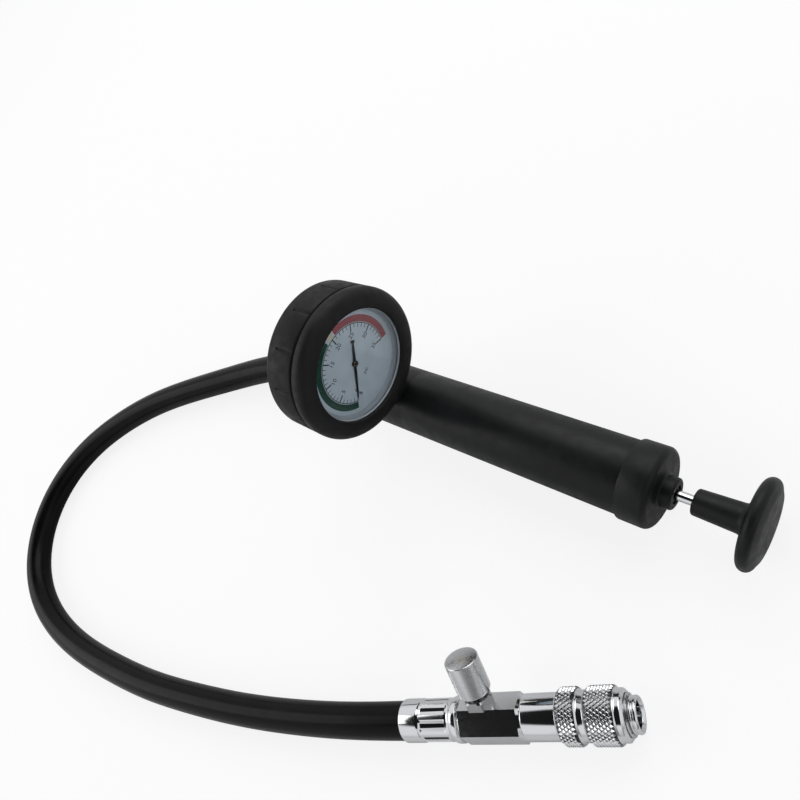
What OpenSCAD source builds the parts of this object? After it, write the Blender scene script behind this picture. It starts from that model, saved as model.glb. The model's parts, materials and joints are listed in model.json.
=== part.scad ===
// Cooling system pressure tester: hand pump, dial gauge, hose and quick coupler.
// The pump lies along X with its handle towards +X, and the gauge stands on its head.

/* [Pump] */
// Outer diameter of the pump barrel
barrel_d = 27.5; // [26:0.5:28]
// Wall thickness of the barrel
barrel_wall = 1.25; // [1:0.25:1.5]
// Length of the barrel
barrel_len = 104; // [90:1:120]
// Outer diameter of the end cap and of the pump head
cap_d = 30.8; // [30:0.2:32]
// Length of the pump head behind the barrel
head_len = 27; // [26:1:32]
// Length of the end cap that shows past the barrel's visible part
cap_len = 11; // [10:1:14]
// Diameter of the pump rod
rod_d = 3.6; // [3:0.2:4]

/* [Handle] */
// Gap between the cap's nose and the handle's stem, as the pump lies
handle_gap = 6; // [2:1:10]
// Diameter of the handle's push disc
disc_d = 31; // [28:1:34]
// Thickness of the handle's push disc
disc_t = 6.4; // [5:0.2:7]
// Length of the handle from the end of its stem to the outside of its disc
handle_len = 23; // [20:1:26]

/* [Gauge] */
// Outer diameter of the rubber boot
boot_d = 60; // [58:1:62]
// Thickness of the boot along the gauge's axis
boot_t = 21.5; // [20:0.5:23]
// Diameter of the boot's window
window_d = 44.4; // [43:0.2:45]
// Height of the gauge's centre above the pump's axis
gauge_rise = 46.7; // [46:0.1:49]
// Depth of the dial's face behind the front of the boot
dial_depth = 5.1; // [4.6:0.1:6]
// Angle of the scale's zero mark, counted from the dial's right
needle_zero = 222; // [215:1:230]

/* [Hose] */
// Outer diameter of the hose
hose_d = 14; // [13:0.5:14]
// Number of sides of the swept hose
hose_sides = 12; // [8:2:12]

/* [Connector] */
// Size across the flats of the valve block
block_af = 15; // [14:0.5:16]
// Length of the valve block
block_len = 24.5; // [22:0.5:28]
// Diameter of the coupler's sleeve
sleeve_d = 18.5; // [18:0.5:20]
// Roll of the valve block about the hose's axis, which tips the relief valve
block_roll = 40; // [30:5:50]
// Diameter of the relief valve's cap
relief_d = 11; // [10:0.5:12]
// Length of the relief valve's cap
relief_len = 14.5; // [12:0.5:16]
// Radius of the socket that takes the adaptor's plug
socket_r = 4.25; // [4:0.05:4.5]

/* [Hidden] */
$fn = 48;

axis_z = cap_d / 2;
barrel_r = barrel_d / 2;
bore_r = barrel_r - barrel_wall;
cap_r = cap_d / 2;
rod_r = rod_d / 2;
clear = 0.05;

// Places along X, from the head's back end to the handle
gauge_front_x = -42;
head_front_x = gauge_front_x - 3;
head_back_x = head_front_x - head_len;
barrel_end_x = head_front_x + barrel_len;
cap_wall = 4;
cap_face_x = barrel_end_x + cap_wall;
cap_edge_x = cap_face_x - cap_len;
nose_len = 4.5;
nose_r = 5.7;
stem_start_x = cap_face_x + nose_len + handle_gap;
spigot_len = 9;
piston_x = head_front_x + spigot_len + handle_gap + 2;

// Gauge
gauge_z = axis_z + gauge_rise;
boot_r = boot_d / 2;
window_r = window_d / 2;
case_r = 26.4;
case_wall = 0.8;
boot_back = 1.9;
boot_lip = 1.6;
bezel_t = 4;
bezel_x = gauge_front_x - boot_lip - bezel_t;
bezel_fold = 0.8;
lens_t = 1.1;
dial_x = gauge_front_x - dial_depth;
dial_t = 0.5;
groove_z = boot_t - 6.5;
stem_x = gauge_front_x - 11;
stem_neck_r = 2.9;
boss_r = 7.9;

// Hose fitting on the head, and the ferrule pressed over the hose
barb_hex_t = 6;
hose_r = hose_d / 2;
barb_ferrule_len = 18.5;

// Connector, measured along its own axis from the ferrule's mouth
conn_pos = [6, -116, 9.25];
conn_turn = 32;
ferrule_len = 24.5;
block_end = ferrule_len + block_len;
sleeve_start = block_end + 12;
sleeve_end = block_end + 35.5;
socket_start = sleeve_start + 8;
socket_end = block_end + 39;
seal_bore_r = 3.6;
seal_bore_len = 1.8;
ball_u = sleeve_end - 4.1;
ball_r = 1;
land_r = 6.45;
body_r = 7.75;
relief_u = 33.5;
sleeve_r = sleeve_d / 2;

// The hose's route, from the barb's hex to the ferrule's end wall
hose_route = [
    [-78, 0, 15.4], [-97, 0, 15.4], [-106, 0, 15.3], [-123, -2.8, 14.1], [-146, -8, 11], [-166, -16, 8.2],
    [-186, -26, 7], [-207, -37, 7], [-226, -48, 7], [-244, -60, 7], [-262, -76, 7], [-282, -97, 7], [-296, -125, 7],
    [-298, -155, 7], [-284, -182, 7], [-258, -196, 7], [-228, -199, 7], [-202, -197, 7], [-180, -193, 7],
    [-158, -188, 7], [-134, -182, 7], [-110, -173, 7], [-86, -164, 7], [-63, -154, 7], [-39, -142, 7.8],
    [-15, -129, 9.1], [6, -116, 9.25]];

// Point at angle a on a circle of radius r about c
function on_circle(c, r, a) = [c[0] + r * cos(a), c[1] + r * sin(a)];
// Points of an arc about c, from angle a to angle b in n steps
function arc(c, r, a, b, n = 6) = [for (i = [0 : n]) on_circle(c, r, a + (b - a) * i / n)];

// Spline through four neighbouring points, at t from 0 to 1 between the middle two
function spline(a, b, c, d, t) = 0.5 * (2 * b + (c - a) * t + (2 * a - 5 * b + 4 * c - d) * t * t
    + (3 * b - a - 3 * c + d) * t * t * t);
function clamped(pts, i) = pts[min(max(i, 0), len(pts) - 1)];
function smooth_path(pts, steps) = concat([for (i = [0 : len(pts) - 2], j = [0 : steps - 1])
    spline(clamped(pts, i - 1), pts[i], pts[i + 1], clamped(pts, i + 2), j / steps)], [pts[len(pts) - 1]]);
function unit(v) = v / norm(v);
function tangent(p, i) = unit(clamped(p, i + 1) - clamped(p, i - 1));
// Ring of points square to the path at point i; its side axis stays level
function ring(p, i, r, sides) = let (t = tangent(p, i), s = unit(cross([0, 0, 1], t)), u = cross(t, s))
    [for (k = [0 : sides - 1]) p[i] + r * (cos(360 * (k + 0.5) / sides) * s + sin(360 * (k + 0.5) / sides) * u)];

// Solid tube of n sides that follows a path
module sweep(p, r, sides) {
    n = len(p);
    polyhedron(
        points = [for (i = [0 : n - 1], q = ring(p, i, r, sides)) q],
        faces = concat([[for (k = [0 : sides - 1]) k]],
            [for (i = [0 : n - 2], k = [0 : sides - 1], h = [0, 1]) let (m = (k + 1) % sides, a = i * sides,
                b = a + sides) h == 0 ? [a + k, b + k, b + m] : [a + k, b + m, a + m]],
            [[for (k = [0 : sides - 1]) n * sides - 1 - k]]));
}

// Coil spring along Z from 0 to height, with mean radius r
module coil_spring(r, wire_r, height, turns, sides = 6, per_turn = 12) {
    rise = height - 2 * wire_r;
    sweep([for (i = [0 : turns * per_turn]) [r * cos(360 * i / per_turn), r * sin(360 * i / per_turn),
        wire_r + rise * i / (turns * per_turn)]], wire_r, sides);
}

// Tube along Z
module tube(h, r_out, r_in) {
    difference() {
        cylinder(h = h, r = r_out);
        translate([0, 0, -1]) cylinder(h = h + 2, r = r_in);
    }
}

// Hexagonal bar along Z with chamfered corners at both ends
module hex_bar(h, af, chamfer = 0.6) {
    intersection() {
        cylinder(h = h, r = af / sqrt(3), $fn = 6);
        rotate_extrude() polygon([[0, 0], [af / 2, 0], [af / sqrt(3) + 0.2, chamfer + 0.2],
            [af / sqrt(3) + 0.2, h - chamfer - 0.2], [af / 2, h], [0, h]]);
    }
}

// Ring that fills a groove, along Z
module o_ring(r_mean, r_wire) {
    rotate_extrude() translate([r_mean, 0]) circle(r = r_wire, $fn = 16);
}

// Children drawn along Z stand along the pump's axis, from x
module on_pump(x) {
    translate([x, 0, axis_z]) rotate([0, 90, 0]) children();
}
// Children drawn along Z face +X on the gauge's axis, from x
module on_gauge(x) {
    translate([x, 0, gauge_z]) rotate([0, 90, 0]) children();
}
// Children drawn along Z lie on the connector's axis, u from the ferrule's mouth
module on_connector(u) {
    translate(conn_pos) rotate([0, 90, conn_turn]) translate([0, 0, u]) children();
}
// Children drawn along Z stand out of the block's upper side face
module on_relief(out) {
    on_connector(relief_u) rotate([0, 0, block_roll]) rotate([-90, 0, 0])
        translate([0, 0, block_af / 2 + out]) children();
}

module pump_head() color("#1d1e20") difference() {
    union() {
        on_pump(head_back_x) rotate_extrude() polygon(concat([[0, 0], [9, 0]], [[cap_r - 2, 1.6]],
            arc([cap_r - 2, 3.6], 2, -90, 0, 4), [[cap_r, head_len - 1], [cap_r - 1, head_len],
            [bore_r - clear, head_len], [bore_r - clear, head_len + 3.4], [bore_r - 1.6, head_len + 3.4],
            [bore_r - 1.6, head_len + 6], [bore_r - clear, head_len + 6],
            [bore_r - clear, head_len + spigot_len - 0.6], [bore_r - 0.6, head_len + spigot_len],
            [0, head_len + spigot_len]]));
        translate([stem_x, 0, axis_z]) cylinder(h = cap_r + 0.9, r = boss_r);
    }
    on_pump(head_front_x - 4) cylinder(h = spigot_len + 5, r = 3.2);
    on_pump(head_back_x - 1) cylinder(h = head_len, r = 1.6);
    on_pump(head_back_x - 1) cylinder(h = 9, r = 4.5);
    translate([stem_x, 0, axis_z]) cylinder(h = 30, r = 1.4);
    translate([stem_x, 0, axis_z + 6]) cylinder(h = 30, r = 5);
}

module head_oring() color("#0d0d0d")
    on_pump(head_front_x + 4.7) o_ring(bore_r - 0.85, 0.75);

module check_seat() color("#b8923f")
    on_pump(head_front_x + spigot_len - 3) difference() {
        cylinder(h = 3, r = 3.2);
        translate([0, 0, -1]) cylinder(h = 6, r = 1);
        translate([0, 0, -0.01]) cylinder(h = 1, r1 = 1.9, r2 = 1);
    }

module check_ball() color("#b9bcc0")
    on_pump(head_front_x + spigot_len - 4.05) sphere(r = 1.9);

module check_spring() color("#9a9da1")
    on_pump(head_front_x - 4) coil_spring(1.6, 0.25, spigot_len - 1.9, 6);

module barrel() color("#18191b")
    on_pump(head_front_x) difference() {
        tube(barrel_len, barrel_r, bore_r);
        translate([0, 0, -0.01]) cylinder(h = 0.8, r1 = bore_r + 0.4, r2 = bore_r);
    }

module end_cap() color("#1a1b1d")
    on_pump(cap_edge_x) rotate_extrude() {
        polygon(concat([[barrel_r, 0], [cap_r - 0.6, 0]], arc([cap_r - 0.6, 0.6], 0.6, -90, 0, 3),
            arc([cap_r - 2.4, cap_len - 2.4], 2.4, 0, 90, 5), [[nose_r + 0.6, cap_len]],
            [[nose_r, cap_len + 0.6]], arc([nose_r - 0.9, cap_len + nose_len - 0.9], 0.9, 0, 90, 4),
            [[3.2, cap_len + nose_len], [3.2, cap_len - cap_wall], [barrel_r, cap_len - cap_wall]]));
    }

module rod_bush() color("#b8923f")
    on_pump(cap_face_x - cap_wall) tube(cap_wall + nose_len - 0.5, 3.2, rod_r + clear);

module pump_rod() color("#d5d7da")
    on_pump(piston_x) rotate_extrude() polygon([[0, -2.2], [1.2, -2.2], [1.5, -1.9], [1.5, 4], [rod_r, 4],
        [rod_r, stem_start_x - piston_x + 9], [0, stem_start_x - piston_x + 9]]);

module piston() color("#2a2b2e")
    on_pump(piston_x) rotate_extrude() polygon([[1.5, 0], [bore_r - 2.2, 0], [bore_r - 2.2, 1.2],
        [bore_r - 0.4, 1.2], [bore_r - 0.4, 4], [rod_r + 1.6, 4], [rod_r + 1.6, 7], [rod_r, 7], [rod_r, 4],
        [1.5, 4]]);

module piston_cup() color("#0d0d0d")
    on_pump(piston_x) rotate_extrude() polygon([[bore_r - 2.2, 0], [bore_r - 1.2, -1.6], [bore_r - clear, -1.8],
        [bore_r - clear, -0.6], [bore_r - 0.5, 1.2], [bore_r - 2.2, 1.2]]);

module piston_nut() color("#b9bcc0")
    on_pump(piston_x - 1.8) difference() {
        cylinder(h = 1.8, r = 3.2, $fn = 6);
        translate([0, 0, -1]) cylinder(h = 4, r = 1.5);
    }

module handle_knob() color("#1c1d1f") {
    rim = 2.9;
    disc_r = disc_d / 2;
    disc_back = handle_len - disc_t;
    on_pump(stem_start_x) rotate_extrude() polygon(concat([[rod_r, 0], [3.7, 0]], arc([3.9, 0.7], 0.7, -90, 0, 3),
        [[5.1, disc_back - 3.6]], arc([8.3, disc_back - 3.4], 3.2, 180, 104, 4),
        [[disc_r - rim, disc_back]], arc([disc_r - rim, disc_back + rim], rim, -80, 80, 8),
        [[disc_r - 5, handle_len - 0.35], [0, handle_len], [0, 9], [rod_r, 9]]));
}

module gauge_stem() color("#b8923f") difference() {
    hex_base = 9.4;
    hex_top = gauge_rise - case_r - 8.5;
    translate([stem_x, 0, axis_z + 7]) union() {
        cylinder(h = hex_base + 1, r = 4.95);
        translate([0, 0, hex_base]) hex_bar(hex_top - hex_base, 11, 0.4);
        cylinder(h = gauge_rise - 24.5, r = stem_neck_r);
    }
    translate([stem_x, 0, axis_z + 6]) cylinder(h = 20, r = 1.4);
}

module gauge_boot() color("#151617") difference() {
    on_gauge(gauge_front_x - boot_t) rotate_extrude() polygon(concat(
        [[18, 0]], arc([boot_r - 2.6, 2.6], 2.6, -90, 0, 4),
        [[boot_r, groove_z - 1.4], [boot_r - 0.7, groove_z - 0.7], [boot_r - 0.7, groove_z + 0.7],
        [boot_r, groove_z + 1.4]], arc([boot_r - 3.6, boot_t - 3.6], 3.6, 0, 80, 5),
        [[boot_r - 5, boot_t], [window_r + 0.8, boot_t], [window_r, boot_t - 0.8], [window_r, boot_t - boot_lip],
        [case_r + 0.6, boot_t - boot_lip], [case_r + 0.6, boot_t - boot_lip - bezel_t - 0.2],
        [case_r + 0.1, boot_t - boot_lip - bezel_t - 0.2], [case_r + 0.1, boot_back], [18, boot_back]]));
    translate([stem_x, 0, axis_z]) cylinder(h = gauge_rise, r = 7.2);
    // Moulded lines across the boot's back band
    for (a = [15.6 : 30 : 345.6]) on_gauge(gauge_front_x - boot_t + groove_z - 9.6) rotate([0, 0, a])
        translate([boot_r - 0.45, -0.4, 0]) cube([1, 0.8, 9]);
}

module gauge_case() color("#8d9196") difference() {
    on_gauge(gauge_front_x - boot_t + boot_back) difference() {
        cylinder(h = boot_t - boot_back - boot_lip - bezel_fold - 0.4, r = case_r);
        translate([0, 0, case_wall]) cylinder(h = boot_t, r = case_r - case_wall);
    }
    translate([stem_x, 0, gauge_z - case_r - 3]) cylinder(h = 6, r = stem_neck_r + 0.1);
}

module gauge_bezel() color("#c9ccd0")
    on_gauge(bezel_x) rotate_extrude() {
        inside = case_r + 0.02;
        outside = case_r + 0.5;
        fold_z = bezel_t - bezel_fold;
        polygon([[inside, 0], [outside, 0], [outside, bezel_t], [window_r - 0.2, bezel_t],
            [window_r - 0.2, fold_z], [case_r - 0.2, fold_z], [case_r - 0.2, fold_z - 0.4], [inside, fold_z - 0.4]]);
    }

module gauge_lens() color([0.85, 0.93, 0.96, 0.35])
    on_gauge(gauge_front_x - boot_lip - bezel_fold - lens_t) cylinder(h = lens_t, r = case_r - 1);

module gauge_dial() color("#dfe8ee")
    on_gauge(dial_x - dial_t) difference() {
        cylinder(h = dial_t, r = case_r - case_wall - 0.1);
        translate([0, 0, -1]) cylinder(h = 3, r = 1.6);
    }

module stop_pin() color("#9a9da1")
    on_gauge(dial_x) rotate([0, 0, 90 + needle_zero + 6]) translate([13, 0, 0]) cylinder(h = 1.1, r = 0.5);

module gauge_needle() color("#141414")
    on_gauge(dial_x + 0.2) rotate([0, 0, 90 + needle_zero]) difference() {
        tip = 14.8;
        tail = 9.6;
        union() {
            linear_extrude(0.4) polygon([[-tail, -0.4], [-tail, 0.4], [-2, 0.9], [2, 0.9], [tip - 1.4, 0.3],
                [tip, 0], [tip - 1.4, -0.3], [2, -0.9], [-2, -0.9]]);
            cylinder(h = 0.8, r = 2.1);
        }
        translate([0, 0, -1]) cylinder(h = 3, r = 0.8);
    }

module needle_shaft() color("#b8923f")
    on_gauge(dial_x - 6.4) cylinder(h = 7.4, r = 0.8);

module movement_plate() color("#b8923f")
    on_gauge(dial_x - dial_t - 4.5) difference() {
        union() {
            translate([-12, -5, 0]) cube([24, 10, 1.2]);
            for (x = [-10, 10]) translate([x, 0, 0]) cylinder(h = 4.5, r = 1.2);
        }
        translate([0, 0, -1]) cylinder(h = 4, r = 0.86);
    }

module bourdon_tube() color("#c2a04e")
    on_gauge(stem_x) rotate([0, 0, 9.2]) rotate_extrude(angle = 250) translate([19, 0]) square([2, 5], center = true);

module hose_barb() color("#b8923f")
    on_pump(head_back_x) rotate([0, 180, 0]) difference() {
        union() {
            translate([0, 0, -6]) cylinder(h = 7, r = 4.45);
            hex_bar(barb_hex_t, 14, 0.5);
            rotate_extrude() polygon(concat([[0, barb_hex_t], [4.2, barb_hex_t]], [for (i = [0 : 2])
                each [[4.2, barb_hex_t + 3 + 4 * i], [4.9, barb_hex_t + 3.2 + 4 * i], [4.2, barb_hex_t + 6 + 4 * i]]],
                [[4, barb_hex_t + 17], [0, barb_hex_t + 17]]));
        }
        translate([0, 0, -9]) cylinder(h = 40, r = 2);
    }

module barb_ferrule() color("#b8923f")
    on_pump(head_back_x - barb_hex_t) rotate([0, 180, 0]) rotate_extrude()
        polygon([[7.02, 0], [8.3, 0], [8.6, 0.4], [8.6, 4], [8.2, 4.6], [8.2, 14], [8.6, 14.6],
            [8.6, barb_ferrule_len - 0.6], [8.2, barb_ferrule_len], [7.02, barb_ferrule_len]]);

module hose() color("#141516")
    sweep(smooth_path(concat(hose_route, [conn_pos + (ferrule_len - 1.5) * [cos(conn_turn), sin(conn_turn), 0]]), 2),
        hose_r, hose_sides);

module hose_ferrule() color("#c9ccd0")
    on_connector(0) difference() {
        rotate_extrude() polygon(concat([[7.02, 0]], arc([7.2, 0.5], 0.5, -60, 0, 2), [[7.7, 8.2], [7.35, 9],
            [7.35, 19.6]], [[7.7, 21], [8.1, 22.4], [8.1, ferrule_len - 0.4], [7.7, ferrule_len],
            [4.7, ferrule_len], [4.7, ferrule_len - 1.5], [7.02, ferrule_len - 1.5]]));
        for (a = [0 : 45 : 315]) rotate([0, 0, a]) translate([7.25, -1.9, 9.8]) cube([1, 3.8, 9]);
    }

module valve_block() color("#c4c7cb") on_connector(0) difference() {
    union() {
        translate([0, 0, ferrule_len]) rotate([0, 0, block_roll]) hex_bar(block_len, block_af, 0.7);
        rotate_extrude() polygon(concat([[0, 6], [4, 6], [4.6, 8]], [for (i = [0 : 3])
            each [[4.1, 9 + 3.2 * i], [4.6, 11.4 + 3.2 * i]]], [[4.2, 22], [4.2, ferrule_len + 1],
            [0, ferrule_len + 1]]));
        translate([0, 0, block_end - 1]) cylinder(h = 8, r = 5);
    }
    translate([0, 0, 5]) cylinder(h = block_end + 10, r = 2);
    rotate([0, 0, block_roll]) translate([0, 0, relief_u]) rotate([-90, 0, 0]) cylinder(h = 12, r = 1.5);
    rotate([0, 0, block_roll]) translate([0, 0, relief_u]) rotate([-90, 0, 0]) translate([0, 0, 3.5])
        cylinder(h = 12, r = 3.5);
}

module relief_base() color("#b9bcc0") on_relief(0) difference() {
    union() {
        translate([0, 0, -3.9]) cylinder(h = 4, r = 3.5);
        hex_bar(3, 9.4, 0.4);
        cylinder(h = 8, r = 3.6);
    }
    translate([0, 0, -5]) cylinder(h = 14, r = 1.2 + clear);
    translate([0, 0, 2]) cylinder(h = 7, r = 2.6);
}

module relief_stem() color("#b8923f") on_relief(0)
    rotate_extrude() polygon([[0, -3.4], [1.2, -3.4], [1.2, 16], [0, 16]]);

module relief_spring() color("#9a9da1") on_relief(2)
    coil_spring(1.95, 0.35, relief_len - 2.2, 6);

module relief_cap() color("#d9dbde") on_relief(5.2)
    rotate_extrude() {
        r = relief_d / 2;
        polygon(concat([[3.65, 0], [r - 0.3, 0], [r, 0.3]], arc([r - 0.6, relief_len - 0.6], 0.6, 0, 90, 3),
            [[0, relief_len], [0, relief_len - 3.7], [1.2, relief_len - 3.7], [1.2, relief_len - 5.3],
            [3.65, relief_len - 5.3]]));
    }

module coupler_body() color("#d0d3d7") on_connector(0) difference() {
    rotate_extrude() polygon([[0, block_end], [body_r - 0.3, block_end], [body_r, block_end + 0.5],
        [body_r, sleeve_start + 6], [6.2, sleeve_start + 6], [6.2, sleeve_start + 8], [0, sleeve_start + 8]]);
    translate([0, 0, block_end - 1]) cylinder(h = 8.05, r = 5.02);
    translate([0, 0, block_end]) cylinder(h = 30, r = 2);
}

module coupler_socket() color("#c4c7cb") on_connector(socket_start) difference() {
    h = socket_end - socket_start;
    rotate_extrude() polygon([[0, 0], [6.2, 0], [6.2, h - 3.6], [6, h - 3.4], [6, h - 2.8], [5.6, h - 2.6],
        [5.6, h - 2.2], [6, h - 2], [6, h - 1.4], [5.6, h - 1.2], [5.6, h - 0.9], [6, h - 0.7], [5.8, h], [0, h]]);
    translate([0, 0, -1]) cylinder(h = 4, r = 2);
    translate([0, 0, 2]) cylinder(h = seal_bore_len + 1, r = seal_bore_r);
    translate([0, 0, 2 + seal_bore_len]) cylinder(h = h, r = socket_r);
    translate([0, 0, h - 0.8]) cylinder(h = 1, r1 = socket_r, r2 = socket_r + 0.9);
    // Seats of the locking balls, open to the socket through a smaller hole
    for (a = [0 : 60 : 300]) rotate([0, 0, a]) translate([0, 0, ball_u - socket_start]) rotate([0, 90, 0]) {
        cylinder(h = 8, r = 0.65);
        translate([0, 0, socket_r + 0.25]) cylinder(h = 4, r = ball_r + clear);
    }
}

module socket_oring() color("#0d0d0d") on_connector(socket_start + 2.9)
    o_ring(seal_bore_r - 0.8, 0.75);

module coupler_sleeve() color("#d6d9dc") on_connector(sleeve_start) rotate_extrude() {
    r = sleeve_r;
    b = body_r + clear;
    h = sleeve_end - sleeve_start;
    polygon([[b, 0], [r - 0.7, 0], [r, 0.6], [r, 7], [r - 0.6, 7.7], [r - 1.1, 7.9], [r - 1.1, 10],
        [r - 0.6, 10.2], [r, 10.8], [r, 18.6], [r - 0.6, 19.2], [r - 0.9, 19.4], [r - 0.9, h - 1],
        [r - 1.8, h], [land_r, h], [land_r, h - 0.6], [7.3, h - 0.8], [7.3, h - 2.7], [land_r, h - 2.9],
        [land_r, h - 5.5], [b, h - 5.5]]);
}

module sleeve_spring() color("#9a9da1") on_connector(sleeve_start + 6)
    coil_spring(7, 0.4, sleeve_end - sleeve_start - 11.6, 6);

module locking_balls() color("#b9bcc0") on_connector(ball_u)
    for (a = [0 : 60 : 300]) rotate([0, 0, a]) translate([5.3, 0, 0]) sphere(r = ball_r, $fn = 16);

module sleeve_clip() color("#9a9da1") on_connector(sleeve_end + 0.1)
    rotate_extrude() translate([6, 0]) square([0.7, 0.6]);

pump_head();
head_oring();
check_seat();
check_ball();
check_spring();
barrel();
end_cap();
rod_bush();
pump_rod();
piston();
piston_cup();
piston_nut();
handle_knob();
gauge_stem();
gauge_boot();
gauge_case();
gauge_bezel();
gauge_lens();
gauge_dial();
gauge_needle();
needle_shaft();
stop_pin();
movement_plate();
bourdon_tube();
hose_barb();
barb_ferrule();
hose();
hose_ferrule();
valve_block();
relief_base();
relief_cap();
relief_stem();
relief_spring();
coupler_body();
coupler_socket();
coupler_sleeve();
sleeve_spring();
locking_balls();
socket_oring();
sleeve_clip();
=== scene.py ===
"""Looks of the radiator pressure tester: pump, gauge, hose and quick coupler, around the packed frame."""
import json
import math

import bmesh
import bpy
from bpy.props import FloatProperty, FloatVectorProperty
from mathutils import Matrix, Vector


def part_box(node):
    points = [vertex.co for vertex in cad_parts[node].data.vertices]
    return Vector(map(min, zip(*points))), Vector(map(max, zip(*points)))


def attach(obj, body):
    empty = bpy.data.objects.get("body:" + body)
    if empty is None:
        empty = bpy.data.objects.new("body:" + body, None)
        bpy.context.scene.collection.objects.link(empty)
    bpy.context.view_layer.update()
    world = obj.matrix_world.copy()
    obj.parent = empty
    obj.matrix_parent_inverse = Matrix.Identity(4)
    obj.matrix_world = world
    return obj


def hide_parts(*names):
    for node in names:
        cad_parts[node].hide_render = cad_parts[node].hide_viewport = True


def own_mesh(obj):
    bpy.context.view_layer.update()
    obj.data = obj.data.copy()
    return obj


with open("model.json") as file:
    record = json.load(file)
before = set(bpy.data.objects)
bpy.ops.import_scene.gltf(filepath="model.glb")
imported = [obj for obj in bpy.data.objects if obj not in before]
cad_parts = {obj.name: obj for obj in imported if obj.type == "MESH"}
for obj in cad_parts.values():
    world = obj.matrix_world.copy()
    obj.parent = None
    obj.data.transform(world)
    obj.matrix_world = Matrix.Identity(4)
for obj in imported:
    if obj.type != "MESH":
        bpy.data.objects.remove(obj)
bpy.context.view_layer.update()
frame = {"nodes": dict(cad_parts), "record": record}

bl_info = {
    "name": "Radiator pressure tester",
    "version": (1, 0, 0),
    "blender": (4, 5, 0),
    "location": "View3D > Sidebar > Tester",
    "description": "Builds a hand pump, dial gauge, hose and quick coupler piece by piece",
    "category": "Add Mesh",
}

# Profiles and the sizes in the builders are in millimetres.
# The frame, the hose's route and the user's sizes are in metres.
MM = 0.001
TINY = 1e-4

# The hose's route, from the barb on the pump head to the ferrule's mouth
HOSE_ROUTE = [
    (-0.078, 0, 0.0154), (-0.097, 0, 0.0154), (-0.106, 0, 0.0153), (-0.123, -0.0028, 0.0141),
    (-0.146, -0.008, 0.011), (-0.166, -0.016, 0.0082), (-0.186, -0.026, 0.007), (-0.207, -0.037, 0.007),
    (-0.226, -0.048, 0.007), (-0.244, -0.060, 0.007), (-0.262, -0.076, 0.007), (-0.282, -0.097, 0.007),
    (-0.296, -0.125, 0.007), (-0.298, -0.155, 0.007), (-0.284, -0.182, 0.007), (-0.258, -0.196, 0.007),
    (-0.228, -0.199, 0.007), (-0.202, -0.197, 0.007), (-0.180, -0.193, 0.007), (-0.158, -0.188, 0.007),
    (-0.134, -0.182, 0.007), (-0.110, -0.173, 0.007), (-0.086, -0.164, 0.007), (-0.063, -0.154, 0.007),
    (-0.039, -0.142, 0.0078), (-0.015, -0.129, 0.0091), (0.006, -0.116, 0.00925),
]
CONNECTOR_START = Vector(HOSE_ROUTE[-1])
FERRULE_LENGTH = 24.5
COUPLER_BODY_LENGTH = 20
COUPLER_SHOULDER = 18
SLEEVE_START = 12.7

FINISHES = {}


# ---------------------------------------------------------------- frames of reference

def centre_of(node):
    """Middle of a node's box, at rest."""
    low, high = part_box(node)
    return (Vector(low) + Vector(high)) / 2


def span(node, axis=0):
    """Size of a node's box along an axis of the frame, in millimetres."""
    low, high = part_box(node)
    return (high[axis] - low[axis]) / MM


def axes_at(origin, side, out):
    """Matrix whose Z runs along out, whose X lies near side, and whose origin is origin."""
    z = Vector(out).normalized()
    x = (Vector(side) - Vector(side).dot(z) * z).normalized()
    matrix = Matrix((x, z.cross(x), z)).transposed().to_4x4()
    matrix.translation = Vector(origin)
    return matrix


def pump_axes(node):
    """Z along the pump towards its handle, X towards +Y, Y up, from where a node's box starts."""
    return axes_at((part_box(node)[0][0], 0, centre_of("barrel").z), (0, 1, 0), (1, 0, 0))


def gauge_axes(node, end=0):
    """Z out of the dial, X to its right, Y to its top, from the back (0) or the front (1) of a node's box."""
    return axes_at((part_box(node)[end][0], 0, centre_of("gauge_boot").z), (0, 1, 0), (1, 0, 0))


def connector_direction():
    """Direction from the ferrule to the coupler's mouth."""
    mount = next(m for m in frame["record"]["mounts"] if m["name"] == "coupler_socket")
    return Vector(mount["axis"]).normalized()


def connector_axes(u=0.0):
    """Z along the connector, X level and towards the pump, Y up; u is measured from the ferrule's mouth."""
    along = connector_direction()
    return axes_at(CONNECTOR_START + along * u * MM, Vector((0, 0, 1)).cross(along), along)


def coupler_axes(u=0.0):
    """The connector's axes, with u measured from where the quick coupler starts."""
    return connector_axes(FERRULE_LENGTH + bpy.context.scene.tester_connector.block_length / MM + u)


def relief_axes(out=0.0):
    """Z out of the relief valve's face of the block, X along the connector."""
    s = bpy.context.scene.tester_connector
    base = connector_axes(s.relief_place / MM)
    z = base.to_3x3() @ Vector((math.cos(s.block_roll), math.sin(s.block_roll), 0))
    return axes_at(base.translation + z * (s.block_flats / 2 + out * MM), connector_direction(), z)


# ---------------------------------------------------------------- meshes

def even_angles(count):
    """Angles of count even steps round a circle."""
    return [2 * math.pi * i / count for i in range(count)]


def angle_between(a, b):
    """Smallest turn from one angle to another, without a sign."""
    return abs((a - b + math.pi) % (2 * math.pi) - math.pi)


def arc(centre, radius, start, end, steps=8):
    """Points (z, r) of an arc; angles in degrees from the Z axis towards +r."""
    turn = [math.radians(start + (end - start) * i / steps) for i in range(steps + 1)]
    return [(centre[0] + radius * math.cos(a), centre[1] + radius * math.sin(a)) for a in turn]


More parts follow.
